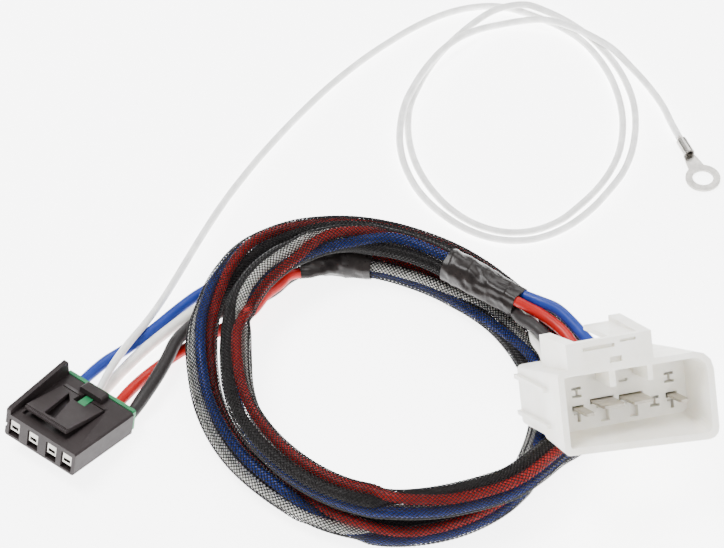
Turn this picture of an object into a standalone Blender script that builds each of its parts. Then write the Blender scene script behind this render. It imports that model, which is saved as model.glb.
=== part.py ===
"""Wiring adapter harness: four-way plug, sleeved four-wire lead in a coil, shrouded socket,
and a thin earth wire that ends in a ring terminal.  Sizes are in millimetres here and are
turned into metres when a mesh is made.  +Z is up, the harness lies on z = 0."""
import math

import bmesh
import bpy
from mathutils import Matrix, Vector

MM = 0.001

for old in list(bpy.data.objects):
    bpy.data.objects.remove(old, do_unlink=True)

# ---------------------------------------------------------------- driving sizes (mm)
PLUG_W, PLUG_D, PLUG_H = 25.5, 25.3, 7.8
PLUG_YAW, PLUG_PITCH = -37.73, 12.57
PLUG_CORNER = (-97.4, 1.89, PLUG_D * math.sin(math.radians(PLUG_PITCH)))
FLANGE_T, FLANGE_FRONT, FLANGE_BACK = 1.5, 9.6, 13.1
CAVITY_X = (3.3, 10.05, 16.8, 22.4)
CAVITY_W, CAVITY_Z0, CAVITY_Z1 = 3.8, 0.8, 6.3
WIRE_Z, LOW_WIRE_Z, GROUND_Z = 3.75, 2.38, 5.06
POCKET_Z = 6.75
LATCH_X0, LATCH_X1, LATCH_FRONT_Y, LATCH_TOP = 3.6, 18.9, 3.4, 10.8
LATCH_HINGE_Y, LATCH_HINGE_Z = 19.9, 7.45
LUG_Y0, LUG_Y1, LUG_TOP = 21.5, 24.9, 9.8
CHANNEL_X0, CHANNEL_X1, CHANNEL_Y = 10.2, 14.0, 17.1
LOCK_T, LOCK_GAP = 1.3, 0.3

SOCKET_W, SOCKET_D, SOCKET_H = 43.0, 34.0, 17.2
RIM_LOW, RIM_HIGH = -2.5, 20.8
RIM_WIDEN, RIM_DROP_LOW, RIM_DROP_HIGH = 2.0, 2.6, 0.9
CAVITY_DEPTH = 13.0
SOCKET_BACK_CORNER = (47.9, -0.8, 12.4)
SOCKET_ACROSS = (0.95078, 0.29524, -0.09408)
SOCKET_FORWARD = (0.28960, -0.73867, 0.60869)
# blade: centre across, centre up, width of blade, width and height of the chamber behind
BLADES = {
    "narrow_left": (9.4, 7.0, 2.8, 4.2, 4.4),
    "wide_left": (16.5, 8.2, 6.4, 7.2, 4.6),
    "wide_right": (25.0, 8.0, 6.4, 7.2, 4.4),
    "narrow_right": (36.8, 6.3, 2.8, 4.2, 4.4),
}

SLEEVE_R, SLEEVE_INNER_R = 4.7, 4.34
TAPE_1, TAPE_2, TAPE_GAP = 22.0, 25.0, 0.3
WIRE_R, BLACK_R, GROUND_R = 1.5, 1.72, 1.1
WIRE_OFFSET, BLACK_OFFSET = 2.58, 2.3
BUNDLE_TURN = 0.6

RING_CENTRE = (105.7, 105.5)
RING_OD, RING_HOLE, RING_T = 10.6, 6.3, 0.8
BARREL_AXIS = (-0.367, 0.930)
BARREL_Z, BARREL_R, BARREL_BORE = 1.65, 1.65, 1.05

# the whole harness is moved so that the plug and socket stand over the origin
ORIGIN_SHIFT = (-1.703, 1.708)

# ---------------------------------------------------------------- routes (mm)
SLEEVE_ROUTE = [
    (-15.5, 66, 4.8), (-4, 67.7, 4.8), (5, 67, 4.8), (15, 63.8, 4.8), (27.2, 57.6, 4.8),
    (38.2, 48.8, 4.8), (46.5, 38.5, 4.8), (51.5, 28.5, 4.8), (54, 19, 4.8), (54.5, 11, 4.8),
    (54, 3.5, 4.8), (52, -4, 4.8), (48.5, -11.5, 4.8), (43.5, -18.8, 4.8), (36, -25, 4.8),
    (26, -29.8, 4.8), (13, -32, 4.8), (0, -29.9, 4.8), (-11.5, -24.5, 4.8),
    (-22, -16.5, 4.8), (-31, -6.5, 4.8), (-37, 4, 4.8), (-40.7, 14.5, 5.2),
    (-42.3, 24, 7), (-42.8, 32, 8.7), (-42.3, 40, 9.2), (-40, 50, 9.3),
    (-36, 59.2, 9.2), (-30.5, 67.6, 8.5), (-22, 74.9, 6.4), (-12, 79.3, 5.1),
    (0, 80.3, 4.8), (10.5, 78.1, 4.8), (20.8, 73.8, 4.8), (30.5, 68.3, 4.8),
    (39.5, 61.3, 4.8), (48.8, 52, 4.8), (57.5, 42, 4.8), (64.5, 32, 4.8),
    (67.8, 20.5, 4.8), (67.6, 12.5, 4.8), (66.3, 6, 5.0), (64.4, 1.2, 6.1),
    (61.2, -4.4, 9.2), (56.3, -10.7, 12.7), (49.9, -18.4, 14.7), (43.6, -23.7, 15),
    (37, -26.4, 14.8), (29.8, -28.6, 14.6), (21.6, -30.3, 14.5), (13, -30.6, 14.5),
    (4, -28.8, 14.4), (-4.3, -25.6, 14.3), (-13.5, -19.3, 14.1), (-22.5, -9.8, 13.8),
    (-28.7, 1, 13.4), (-31.6, 11.3, 13.2), (-32.6, 22.4, 13.2), (-32.6, 33.4, 13.5),
    (-31.6, 41.5, 13.9), (-29.2, 47.9, 14.3), (-25.9, 53.3, 14.7), (-21.5, 58, 14.9),
    (-16.5, 61.9, 14.9), (-9.5, 65.8, 14.9), (-0.5, 67.6, 14.9), (9.5, 66.5, 14.8),
    (19.5, 63, 14.7), (28.5, 57.5, 14.6), (38.5, 49.9, 14.6), (48, 42.5, 14.6),
]
# plug end of each main wire, between the back of the plug and the first tape wrap
BLUE_IN = [
    (-70.5, 30.3, 3.2), (-64.5, 36.6, 1.9), (-57.5, 43.8, 1.6), (-50.2, 52, 1.6),
    (-44.6, 57.6, 1.6), (-40.2, 60.8, 1.6), (-35.6, 61.9, 1.8), (-30.8, 62, 3.2),
    (-26, 62.8, 5.4), (-20.1, 64.7, 6.8),
]
WHITE_IN = [
    (-66.5, 26.8, 1.8), (-60.3, 35.4, 1.6), (-53.6, 43, 1.6), (-47.2, 49.6, 1.6),
    (-41.4, 54.4, 1.6), (-35.5, 57.4, 1.6), (-29.4, 58.8, 1.65), (-25, 61.8, 1.75),
    (-21.4, 66.2, 3.4),
]
RED_IN = [
    (-61.6, 21.5, 3.0), (-57, 28, 1.7), (-50, 34.8, 1.6), (-43, 40.2, 1.6),
    (-36, 45.2, 1.6), (-29.1, 49.8, 2.8), (-25, 55, 4.4), (-21, 58.4, 5.2),
    (-18.4, 61.5, 5.4),
]
BLACK_IN = [
    (-58, 17.6, 5.0), (-55, 23.5, 5.6), (-52.6, 29.5, 5.8), (-50.6, 35.5, 5.6),
    (-48.2, 41, 3.8), (-44.6, 46.6, 2.1), (-38.5, 50.4, 1.9), (-32, 53.4, 1.9),
    (-27, 56, 1.9), (-22.6, 59.3, 1.9), (-19, 63.2, 2.1),
]
# socket end of each main wire, between the second tape wrap and the back of the socket
BLUE_OUT = [(54.2, 41.4, 16.5), (58.7, 39, 16.2), (63.3, 34.3, 15), (66.6, 30.2, 13.8),
            (71, 26.2, 11.9), (76, 23.6, 10.4), (79.3, 21, 10.2)]
RED_OUT = [(51, 39.6, 15.8), (54.6, 37.8, 14.8), (59.9, 33.1, 13.8), (62.8, 28.5, 13.2),
           (66.4, 21.5, 12.4)]
BLACK_OUT = [(48.6, 37.4, 13.6), (51.4, 34.8, 14.2), (55, 30.3, 14.2), (58.4, 24, 13.6),
             (60.3, 17.2, 13.3)]
WHITE_OUT = [(51.2, 41.4, 11.8), (52.2, 36.8, 10.7), (52.6, 32, 10.7), (54.8, 27, 11),
             (55.8, 20.4, 11.2), (55.2, 13.6, 12.2)]
GROUND_ROUTE = [
    (-68.8, 24.8, 6.2), (-66.3, 30, 6.4), (-63.6, 35.8, 5.8), (-60.2, 43.2, 4.0),
    (-57, 51, 2.2), (-53.7, 59, 1.3), (-50, 68, 1.15), (-45, 80, 1.15), (-39.5, 92.3, 1.15),
    (-34, 103, 1.15), (-28, 113.5, 1.15), (-22, 123, 1.15), (-16, 131.8, 1.15),
    (-10, 140, 1.15), (-3.5, 148, 1.15), (4, 156.2, 1.15), (11.5, 163.3, 1.15),
    (18.5, 169.2, 1.15), (25.5, 174, 1.15), (32, 177.2, 1.15), (38.5, 179, 1.15),
    (44.5, 179.4, 1.15), (51, 177.9, 1.15), (58.5, 174.2, 1.15), (65.5, 169.8, 1.15),
    (71.5, 164, 1.15), (76, 157, 1.15), (79.5, 148.8, 1.15), (81.6, 140.5, 1.15),
    (82.6, 132, 1.15), (82.3, 123.5, 1.15), (80.8, 115.3, 1.15), (77.8, 107.5, 1.15),
    (73.6, 100.3, 1.15), (68.2, 93.6, 1.15), (61.5, 87, 1.15), (53, 83, 1.15), (44.5, 82.8, 1.15),
    (36.5, 86, 1.15), (29.3, 92.2, 1.15), (23.3, 101, 1.15), (19.5, 110, 1.15),
    (17.5, 119, 1.15), (17, 127.5, 1.15), (17.8, 135.5, 1.15), (20.2, 143.3, 1.15),
    (23.5, 151.3, 1.15), (28, 159.3, 1.2), (33.3, 166, 1.6), (38.8, 171.2, 2.6),
    (44, 174.8, 3.5), (49.5, 176.9, 3.75), (55, 177.5, 3.6), (60.5, 176.2, 2.3),
    (66.5, 173.2, 1.2), (72.5, 167.5, 1.15), (78, 160, 1.15), (82, 152.4, 1.15),
    (84.6, 145, 1.15), (86.2, 137.5, 1.15), (86.6, 130, 1.15), (86, 122.5, 1.15),
    (84.4, 114.6, 1.15), (81.5, 106.9, 1.15), (76.8, 99.2, 1.15), (70.8, 91.2, 1.15),
    (62.8, 84, 1.15), (54, 79.9, 1.15), (45, 79.5, 1.15), (36.5, 82.4, 1.15),
    (28, 88.9, 1.15), (20.4, 98.7, 1.15), (16, 109.5, 1.4), (14.5, 118.5, 1.9),
    (14.8, 126.5, 2.9), (16.3, 134.3, 3.5), (19.2, 142, 3.6), (23, 149.8, 3.6),
    (28, 157.3, 3.7), (33.6, 163.1, 3.5), (39.4, 167.6, 2.4), (46, 170.9, 1.3),
    (53, 172, 1.9), (59.2, 171.3, 3.2), (64.8, 169.3, 3.7), (70, 166.4, 3.8),
    (75.2, 162.7, 3.8), (80.8, 157.8, 3.6), (86.3, 151.4, 2.0), (91, 143.9, 1.6),
    (95, 135.3, 1.65), (97.6, 126.8, 1.65),
]


def smooth(points, step=0.5):
    """A centripetal curve through the route points, as points about `step` mm apart."""
    pts = [Vector(p) for p in points]
    pts = [2 * pts[0] - pts[1]] + pts + [2 * pts[-1] - pts[-2]]
    out = []
    for i in range(1, len(pts) - 2):
        a, b, c, d = pts[i - 1], pts[i], pts[i + 1], pts[i + 2]
        t0 = 0.0
        t1 = t0 + math.sqrt((b - a).length)
        t2 = t1 + math.sqrt((c - b).length)
        t3 = t2 + math.sqrt((d - c).length)
        count = max(2, int((c - b).length / step))
        for k in range(count):
            t = t1 + (t2 - t1) * k / count
            a1 = a.lerp(b, (t - t0) / (t1 - t0))
            a2 = b.lerp(c, (t - t1) / (t2 - t1))
            a3 = c.lerp(d, (t - t2) / (t3 - t2))
            b1 = a1.lerp(a2, (t - t0) / (t2 - t0))
            b2 = a2.lerp(a3, (t - t1) / (t3 - t1))
            out.append(b1.lerp(b2, (t - t1) / (t2 - t1)))
    out.append(pts[-2])
    return out


def lengths(line):
    """Distance from the start at every point of a line."""
    run = [0.0]
    for a, b in zip(line, line[1:]):
        run.append(run[-1] + (b - a).length)
    return run


def stations(line, turn=12.0, longest=13.0):
    """Distances along a line at which a tube needs a section: one for every `turn`
    degrees of bend, and never more than `longest` mm apart."""
    run = lengths(line)
    picked = [0.0]
    start = (line[1] - line[0]).normalized()
    for i in range(1, len(line) - 1):
        heading = (line[i + 1] - line[i]).normalized()
        bend = math.degrees(math.acos(max(-1.0, min(1.0, heading.dot(start)))))
        if bend > turn or run[i] - picked[-1] > longest:
            picked.append(run[i])
            start = heading
    if run[-1] - picked[-1] < 2.5 and len(picked) > 1:
        picked.pop()
    picked.append(run[-1])
    return picked


def at(line, run, where):
    """The point and heading of a line at a distance from its start."""
    where = max(0.0, min(run[-1], where))
    low, high = 0, len(run) - 1
    while high - low > 1:
        middle = (low + high) // 2
        if run[middle] <= where:
            low = middle
        else:
            high = middle
    share = (where - run[low]) / max(1e-9, run[high] - run[low])
    before = line[max(0, low - 3)]
    after = line[min(len(line) - 1, high + 3)]
    return line[low].lerp(line[high], share), (after - before).normalized()


def level_frame(heading):
    """Right-hand and upward directions of a cord that runs along `heading`."""
    right = heading.cross(Vector((0, 0, 1))).normalized()
    return right, right.cross(heading).normalized()


# ---------------------------------------------------------------- object helpers
def material(name, colour, metallic=0.0, roughness=0.5):
    mat = bpy.data.materials.new(name)
    mat.use_nodes = True
    shader = mat.node_tree.nodes["Principled BSDF"]
    shader.inputs["Base Color"].default_value = (*colour, 1.0)
    shader.inputs["Metallic"].default_value = metallic
    shader.inputs["Roughness"].default_value = roughness
    mat.diffuse_color = (*colour, 1.0)
    return mat


def shifted(point):
    return Vector((point[0] + ORIGIN_SHIFT[0], point[1] + ORIGIN_SHIFT[1], point[2])) * MM


def plug_frame():
    """The plug lies on its rear lower edge with its nose up."""
    place = Matrix.Translation(shifted(PLUG_CORNER))
    turn = Matrix.Rotation(math.radians(PLUG_YAW), 4, "Z")
    return place @ turn @ Matrix.Rotation(math.radians(-PLUG_PITCH), 4, "X")


def socket_frame():
    across = Vector(SOCKET_ACROSS).normalized()
    back = -Vector(SOCKET_FORWARD)
    back = (back - across * back.dot(across)).normalized()
    up = across.cross(back)
    corner = Vector(SOCKET_BACK_CORNER) - back * SOCKET_D
    place = Matrix.Translation(shifted(corner))
    turn = Matrix((across, back, up)).transposed().to_4x4()
    return place @ turn


PLUG = plug_frame()
SOCKET = socket_frame()


def in_frame(frame, x, y, z):
    """A point of the plug or socket in mm, as world mm."""
    return (frame @ (Vector((x, y, z)) * MM)) / MM


def make(name, solids, frame, mat=None, cutter=False):
    """One mesh object from closed solids given in mm in the axes of `frame`."""
    bm = bmesh.new()
    for verts, faces in solids:
        made = [bm.verts.new(Vector(v) * MM) for v in verts]
        for face in faces:
            bm.faces.new([made[i] for i in face])
    bmesh.ops.recalc_face_normals(bm, faces=bm.faces)
    mesh = bpy.data.meshes.new(name)
    bm.to_mesh(mesh)
    bm.free()
    obj = bpy.data.objects.new(name, mesh)
    bpy.context.scene.collection.objects.link(obj)
    obj.matrix_world = frame
    if mat:
        mesh.materials.append(mat)
    if cutter:
        obj.hide_render = True
        obj.display_type = "WIRE"
    return obj


def combine(obj, other, operation):
    mod = obj.modifiers.new(operation.lower() + "_" + other.name, "BOOLEAN")
    mod.operation = operation
    mod.solver = "EXACT"
    mod.use_self = True
    mod.object = other
    return mod


def box(x0, x1, y0, y1, z0, z1):
    verts = [(x, y, z) for z in (z0, z1) for y in (y0, y1) for x in (x0, x1)]
    faces = [(0, 2, 3, 1), (4, 5, 7, 6), (0, 1, 5, 4), (2, 6, 7, 3), (0, 4, 6, 2),
             (1, 3, 7, 5)]
    return verts, faces


def prism(outline, axis, low, high):
    """A flat outline drawn out along an axis: Y takes (x, z), X takes (y, z), Z (x, y)."""
    def put(a, b, c):
        if axis == "Y":
            return (a, c, b)
        if axis == "X":
            return (c, a, b)
        return (a, b, c)
    count = len(outline)
    verts = [put(a, b, low) for a, b in outline] + [put(a, b, high) for a, b in outline]
    faces = [tuple(range(count))[::-1], tuple(range(count, 2 * count))]
    faces += [(i, (i + 1) % count, count + (i + 1) % count, count + i)
              for i in range(count)]
    return verts, faces


def rounded(x0, x1, z0, z1, radii, parts=3):
    """A rectangle outline with its own radius at each corner, counter-clockwise from
    bottom right: bottom right, top right, top left, bottom left."""
    centres = [(x1 - radii[0], z0 + radii[0], -90), (x1 - radii[1], z1 - radii[1], 0),
               (x0 + radii[2], z1 - radii[2], 90), (x0 + radii[3], z0 + radii[3], 180)]
    out = []
    for (cx, cz, start), radius in zip(centres, radii):
        for k in range(parts + 1):
            angle = math.radians(start + 90.0 * k / parts)
            out.append((cx + radius * math.cos(angle), cz + radius * math.sin(angle)))
    return out


def loft(sections):
    """A solid through outlines of equal count: [(y, [(x, z), ...]), ...]."""
    count = len(sections[0][1])
    verts = [(x, y, z) for y, outline in sections for x, z in outline]
    faces = [tuple(range(count))[::-1]]
    for s in range(len(sections) - 1):
        base, above = s * count, (s + 1) * count
        for i in range(count):
            j = (i + 1) % count
            faces += [(base + i, base + j, above + j), (base + i, above + j, above + i)]
    last = (len(sections) - 1) * count
    faces.append(tuple(range(last, last + count)))
    return verts, faces


def i_mark(cx, cz, width, height, bar):
    """An I-shaped outline."""
    w, h, s = width / 2, height / 2, bar / 2
    return [(cx - w, cz - h), (cx + w, cz - h), (cx + w, cz - h + bar), (cx + s, cz - h + bar),
            (cx + s, cz + h - bar), (cx + w, cz + h - bar), (cx + w, cz + h), (cx - w, cz + h),
            (cx - w, cz + h - bar), (cx - s, cz + h - bar), (cx - s, cz - h + bar),
            (cx - w, cz - h + bar)]


def t_mark(cx, top, width, height, bar, stem):
    """A T-shaped outline that hangs from `top`."""
    w, s = width / 2, stem / 2
    return [(cx - s, top - height), (cx + s, top - height), (cx + s, top - bar),
            (cx + w, top - bar), (cx + w, top), (cx - w, top), (cx - w, top - bar),
            (cx - s, top - bar)]


# ---------------------------------------------------------------- colours
BLACK_PLASTIC = material("plug_plastic", (0.085, 0.068, 0.072), 0.0, 0.5)
LATCH_PLASTIC = material("latch_plastic", (0.095, 0.076, 0.08), 0.0, 0.5)
GREEN_PLASTIC = material("lock_plastic", (0.09, 0.36, 0.15), 0.0, 0.45)
WHITE_NYLON = material("socket_nylon", (0.82, 0.82, 0.78), 0.0, 0.45)
TIN = [material("tin_%d" % n, (0.58, 0.56, 0.52), 1.0, 0.35) for n in range(1, 11)]
BRAID = material("braid_black", (0.06, 0.055, 0.055), 0.0, 0.6)
TAPE = [material("tape_%d" % n, (0.06, 0.052, 0.05), 0.0, 0.35) for n in (1, 2)]
BLUE = material("wire_blue", (0.045, 0.09, 0.4), 0.0, 0.4)
RED = material("wire_red", (0.68, 0.04, 0.03), 0.0, 0.4)
CHARCOAL = material("wire_black", (0.075, 0.062, 0.062), 0.0, 0.45)
WHITE = material("wire_white", (0.75, 0.73, 0.68), 0.0, 0.4)
WHITE_THIN = material("wire_ground", (0.7, 0.68, 0.63), 0.0, 0.4)

# ---------------------------------------------------------------- plug housing
body = prism([(0.5, 0), (PLUG_W - 0.6, 0), (PLUG_W, 0.6), (PLUG_W, PLUG_H - 0.5),
              (PLUG_W - 0.5, PLUG_H), (0.4, PLUG_H), (0, PLUG_H - 0.4), (0, 0.5)],
             "Y", 0, PLUG_D)
plug = make("plug_housing", [body], PLUG, BLACK_PLASTIC)
# the guide flange along the left side is taller at its back
flange = prism([(0, 0.5), (PLUG_D, 0.5), (PLUG_D, PLUG_H), (PLUG_D - 1.1, FLANGE_BACK - 0.2),
                (PLUG_D - 1.6, FLANGE_BACK), (0.6, FLANGE_FRONT), (0, FLANGE_FRONT - 0.4)],
               "X", 0, FLANGE_T)
lug = prism([(8.4, PLUG_H - 1.2), (16.4, PLUG_H - 1.2), (16.4, LUG_TOP - 0.4),
             (15.9, LUG_TOP), (8.8, LUG_TOP), (8.4, LUG_TOP - 0.4)], "Y", LUG_Y0, LUG_Y1)
ramp = prism([(LATCH_HINGE_Y + 0.1, PLUG_H - 0.8), (LUG_Y0 + 0.1, PLUG_H - 0.8),
              (LUG_Y0 + 0.1, PLUG_H), (LATCH_HINGE_Y + 0.1, PLUG_H + 0.55)],
             "X", LATCH_X0, LATCH_X1)
for name, solid in (("flange", flange), ("lug", lug), ("ramp", ramp)):
    combine(plug, make("plug_" + name, [solid], PLUG, cutter=True), "UNION")

cuts = [box(x - CAVITY_W / 2, x + CAVITY_W / 2, -1, PLUG_D + 0.4, CAVITY_Z0, CAVITY_Z1)
        for x in CAVITY_X]
cuts.append(box(LATCH_X0 - 0.4, LATCH_X1 + 0.4, LATCH_FRONT_Y - 0.4, LATCH_HINGE_Y + 0.1,
                POCKET_Z, 13.5))
plug_cuts = make("plug_cuts", cuts, PLUG, cutter=True)
combine(plug, plug_cuts, "DIFFERENCE")
# the lock's arm lies in an open channel and runs back under the lug
channel = box(CHANNEL_X0, CHANNEL_X1, CHANNEL_Y, LUG_Y0, POCKET_Z, 13.5)
tunnel = box(CHANNEL_X0, CHANNEL_X1, LUG_Y0 - 0.2, PLUG_D + 1, POCKET_Z, PLUG_H + 0.3)
for name, solid in (("channel", channel), ("tunnel", tunnel)):
    combine(plug, make("plug_" + name, [solid], PLUG, cutter=True), "DIFFERENCE")
# guide groove along the left side, below the flange
groove = make("groove_cut", [box(-1, 0.5, -1, 17.5, 2.8, 4.2)], PLUG, cutter=True)
combine(plug, groove, "DIFFERENCE")

# ---------------------------------------------------------------- plug latch arm
hinge = PLUG @ Matrix.Translation(Vector((0, LATCH_HINGE_Y, LATCH_HINGE_Z)) * MM)
front, top = LATCH_FRONT_Y - LATCH_HINGE_Y, LATCH_TOP - LATCH_HINGE_Z
side = [(-0.2, -0.15), (-0.2, 0.85), (front + 0.6, top), (front + 0.6, top - 0.4),
        (front, top - 0.4), (front, top - 1.5), (front + 1.0, top - 1.6), (-2.6, -0.15)]
latch = make("plug_latch_arm", [prism(side, "X", LATCH_X0, LATCH_X1)], hinge, LATCH_PLASTIC)
# a slanted window, and a notch round the lock's arm that leaves the latch on two legs
window = prism([(9.4, 1.65 + front), (13.1, 1.6 + front), (10.0, 12.0 + front),
                (7.2, 15.0 + front)], "Z", -3, 6)
notch = box(CHANNEL_X0 - 0.2, CHANNEL_X1 + 0.2, CHANNEL_Y - 0.3 - LATCH_HINGE_Y, 1, -3, 6)
for name, solid in (("window", window), ("notch", notch)):
    combine(latch, make("latch_" + name, [solid], hinge, cutter=True), "DIFFERENCE")

# ---------------------------------------------------------------- plug lock
lock_y = PLUG_D + LOCK_GAP
plate = prism([(0.5, 1.0), (PLUG_W - 0.6, 1.0), (PLUG_W - 0.6, PLUG_H - 0.4),
               (PLUG_W - 1.0, PLUG_H + 0.1), (0.5, PLUG_H + 0.1)], "Y", lock_y, lock_y + LOCK_T)
lock = make("plug_lock", [plate], PLUG, GREEN_PLASTIC)
lock_arm = make("lock_arm", [box(10.8, 13.4, CHANNEL_Y + 0.4, lock_y + 0.6, 7.0, 7.6)], PLUG,
                cutter=True)
combine(lock, lock_arm, "UNION")
# the plate is a comb: one open slot over each wire
slots = [box(x - 2.05, x + 2.05, PLUG_D - 1, PLUG_D + 3, -1, 6.95) for x in CAVITY_X]
lock_slots = make("lock_slots", slots, PLUG, cutter=True)
combine(lock, lock_slots, "DIFFERENCE")

# ---------------------------------------------------------------- plug terminals
for number, x in enumerate(CAVITY_X, 1):
    low, high = 2.45, 5.9
    crimp_z = LOW_WIRE_Z if number == 2 else WIRE_Z
    shell = box(x - 1.6, x + 1.6, 0.4, 11.0, low, high)
    crimp = box(x - 1.2, x + 1.2, 10.5, 14.9, crimp_z - 1.2, crimp_z + 1.2)
    term = make("plug_terminal_%d" % number, [shell], PLUG, TIN[number - 1])
    tail = make("plug_crimp_%d" % number, [crimp], PLUG, cutter=True)
    combine(term, tail, "UNION")
    slit = make("plug_slit_%d" % number,
                [box(x - 1.15, x + 1.15, -1, 9.0, low + 0.75, low + 1.75)],
                PLUG, cutter=True)
    combine(term, slit, "DIFFERENCE")

# ---------------------------------------------------------------- socket housing
def flared(outline, low, high, share):
    """The shroud spreads to the right towards its rim; share is 1 at the rim."""
    out = []
    for x, z in outline:
        right, rise = share * x / SOCKET_W, (z - low) / (high - low)
        drop = RIM_DROP_LOW * (1 - rise) + RIM_DROP_HIGH * rise
        out.append((x + RIM_WIDEN * right, z - drop * right))
    return out


def shell_section(low, high, share=0.0):
    return flared(rounded(0, SOCKET_W, low, high, (3.0, 5.0, 1.4, 1.4)), low, high, share)


def mouth_section(low, high, share=0.0):
    return flared(rounded(1.7, 41.3, low, high, (2.0, 3.6, 0.8, 0.8)), low, high, share)


def top_at(y):
    return RIM_HIGH + (SOCKET_H - RIM_HIGH) * y / SOCKET_D


outer = loft([(0, shell_section(RIM_LOW, RIM_HIGH, 1.0)),
              (15.2, shell_section(-0.9, top_at(15.2), 0.3)),
              (16.4, shell_section(0, top_at(16.4))), (SOCKET_D, shell_section(0, SOCKET_H))])
socket = make("socket_housing", [outer], SOCKET, WHITE_NYLON)

BLOCK_X0, BLOCK_X1 = 3.1, 27.9
front_plate = box(BLOCK_X0, BLOCK_X1, 0, 2.0, 18.8, 28.0)
left_wall = prism([(0, 17.2), (21, 17.2), (21, 27.4), (0, 28.0)], "X", BLOCK_X0, 6.4)
right_wall = prism([(0, 17.2), (23.3, 17.2), (23.3, 29.1), (0, 28.0)], "X", 24.4, BLOCK_X1)
top_plate = box(16.8, 25.0, 0.5, 23.0, 26.2, 27.6)
for name, solid in (("block_front", front_plate), ("block_left", left_wall),
                    ("block_right", right_wall), ("block_top", top_plate)):
    part = make(name, [solid], SOCKET, cutter=True)
    combine(socket, part, "UNION")
rails = make("side_rails", [box(-1.2, 1.0, 10, SOCKET_D, 13.6, 14.8),
                            box(-1.2, 1.0, 10, SOCKET_D, 3.3, 4.5)], SOCKET, cutter=True)
combine(socket, rails, "UNION")

inner = loft([(-1, mouth_section(-0.8, 19.2, 1.0)), (CAVITY_DEPTH, mouth_section(0.8, 17.8))])
mouth = make("socket_mouth", [inner], SOCKET, cutter=True)
combine(socket, mouth, "DIFFERENCE")

openings = [box(15.3, 18.9, -1, 1.5, 20.9, 22.6), box(7.9, 17.1, -1, 1.1, 25.2, 26.3),
            box(18.7, 23.3, -1, 1.0, 26.2, 27.0)]
for name, (cx, cz, width, room_w, room_h) in BLADES.items():
    openings.append(box(cx - width / 2 - 0.3, cx + width / 2 + 0.3, CAVITY_DEPTH - 1, 18.5,
                        cz - 0.75, cz + 0.75))
    openings.append(box(cx - room_w / 2, cx + room_w / 2, 18.0, SOCKET_D + 1,
                        cz - room_h / 2, cz + room_h / 2))
back, deep = CAVITY_DEPTH - 0.5, CAVITY_DEPTH + 3.0
openings.append(prism(i_mark(9.4, 11.4, 2.8, 3.0, 0.8), "Y", back, deep))
openings.append(prism(i_mark(36.5, 11.2, 2.8, 3.0, 0.8), "Y", back, deep))
openings.append(prism(i_mark(31.7, 5.2, 2.8, 3.0, 0.8), "Y", back, deep))
openings.append(box(21.8, 24.4, back, CAVITY_DEPTH + 1.5, 12.2, 13.0))
openings.append(prism(t_mark(16.9, 7.15, 4.4, 5.0, 1.0, 2.6), "Y", back, CAVITY_DEPTH + 2.0))
openings.append(prism(t_mark(25.4, 6.95, 4.4, 5.0, 1.0, 2.6), "Y", back, CAVITY_DEPTH + 2.0))
openings.append(prism(t_mark(9.4, 5.95, 2.8, 2.8, 0.8, 1.0), "Y", back, CAVITY_DEPTH + 2.0))
openings.append(prism(t_mark(36.8, 5.25, 2.8, 2.8, 0.8, 1.0), "Y", back, CAVITY_DEPTH + 2.0))
socket_cuts = make("socket_cuts", openings, SOCKET, cutter=True)
combine(socket, socket_cuts, "DIFFERENCE")
keys = make("socket_keys", [box(15.2, 17.0, 1.5, CAVITY_DEPTH + 0.5, 14.0, 19.6),
                            box(26.3, 27.7, 1.5, CAVITY_DEPTH + 0.5, 14.0, 19.6)],
            SOCKET, cutter=True)
combine(socket, keys, "UNION")

# ---------------------------------------------------------------- socket blades
for number, (name, (cx, cz, width, room_w, room_h)) in enumerate(BLADES.items(), 1):
    half = width / 2
    tip = prism([(cx - half + 0.4, 3.0), (cx + half - 0.4, 3.0), (cx + half, 4.0),
                 (cx + half, 19.4), (cx - half, 19.4), (cx - half, 4.0)],
                "Z", cz - 0.4, cz + 0.4)
    blade = make("socket_blade_" + name, [tip], SOCKET, TIN[3 + number])
    crimp_half = room_w / 2 - 0.5
    stem = make("blade_stem_" + name, [box(cx - half, cx + half, 18.4, 22.0, cz - 0.6, cz + 1.4),
                                       box(cx - 1.2, cx + 1.2, 21.0, 26.9, cz - 1.2, cz + 1.2)],
                SOCKET, cutter=True)
    combine(blade, stem, "UNION")


# ---------------------------------------------------------------- cords
def tube(name, centres, headings, outer_r, inner_r, sides, mat):
    """A hollow tube with flat ends along stations of a cord."""
    verts, faces = [], []
    for centre, heading in zip(centres, headings):
        right, up = level_frame(heading)
        for radius in (outer_r, inner_r):
            for k in range(sides):
                angle = 2 * math.pi * (k + 0.5) / sides
                verts.append(centre + radius * (math.cos(angle) * right
                                                + math.sin(angle) * up))
    ring = 2 * sides
    for s in range(len(centres) - 1):
        a, b = s * ring, (s + 1) * ring
        for k in range(sides):
            j = (k + 1) % sides
            faces.append((a + k, a + j, b + j, b + k))
            faces.append((a + sides + j, a + sides + k, b + sides + k, b + sides + j))
    last = (len(centres) - 1) * ring
    for k in range(sides):
        j = (k + 1) % sides
        faces.append((k, sides + k, sides + j, j))
        faces.append((last + j, last + sides + j, last + sides + k, last + k))
    shift = Vector((ORIGIN_SHIFT[0], ORIGIN_SHIFT[1], 0))
    return make(name, [([v + shift for v in verts], faces)], Matrix.Identity(4), mat)


def cord(name, points, radius, mat):
    """A solid cord along points, with both ends closed."""
    curve = bpy.data.curves.new(name, "CURVE")
    curve.dimensions = "3D"
    curve.bevel_depth = radius * MM
    curve.bevel_resolution = 2
    curve.use_fill_caps = True
    curve.twist_mode = "MINIMUM"
    spline = curve.splines.new("POLY")
    spline.points.add(len(points) - 1)
    for slot, point in zip(spline.points, points):
        slot.co = (*shifted(point), 1.0)
    curve.materials.append(mat)
    obj = bpy.data.objects.new(name, curve)
    bpy.context.scene.collection.objects.link(obj)
    return obj


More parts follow.
